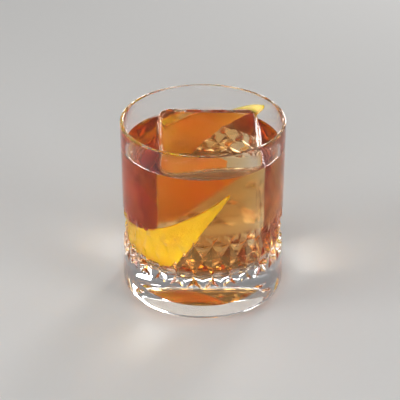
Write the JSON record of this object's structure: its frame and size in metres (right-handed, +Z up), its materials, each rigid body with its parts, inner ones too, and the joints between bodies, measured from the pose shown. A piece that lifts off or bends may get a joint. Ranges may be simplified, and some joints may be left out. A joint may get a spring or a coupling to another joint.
{
  "type": "vieux carre cocktail",
  "caption": "Amber cocktail in a straight cut-glass rocks glass with a thick foot, one large clear ice block and a broad lemon peel round it.",
  "frame": {"origin": "middle of the glass's underside, on the surface it stands on", "axes": "+Z up along the glass's axis, -Y towards the side that is looked at, +X to its right, where the peel's two points are"},
  "size_m": [0.0834, 0.0834, 0.092],
  "materials": {
    "glass": "clear polished cut glass",
    "drink": "clear amber-red liquid",
    "ice": "clear ice with melted edges",
    "lemon_peel": "waxy pored yellow skin, pale pith inside"
  },
  "bodies": {
    "root": {"glass": "glass", "drink": "drink", "ice": "ice", "lemon_peel": "lemon_peel"}
  },
  "joints": []
}
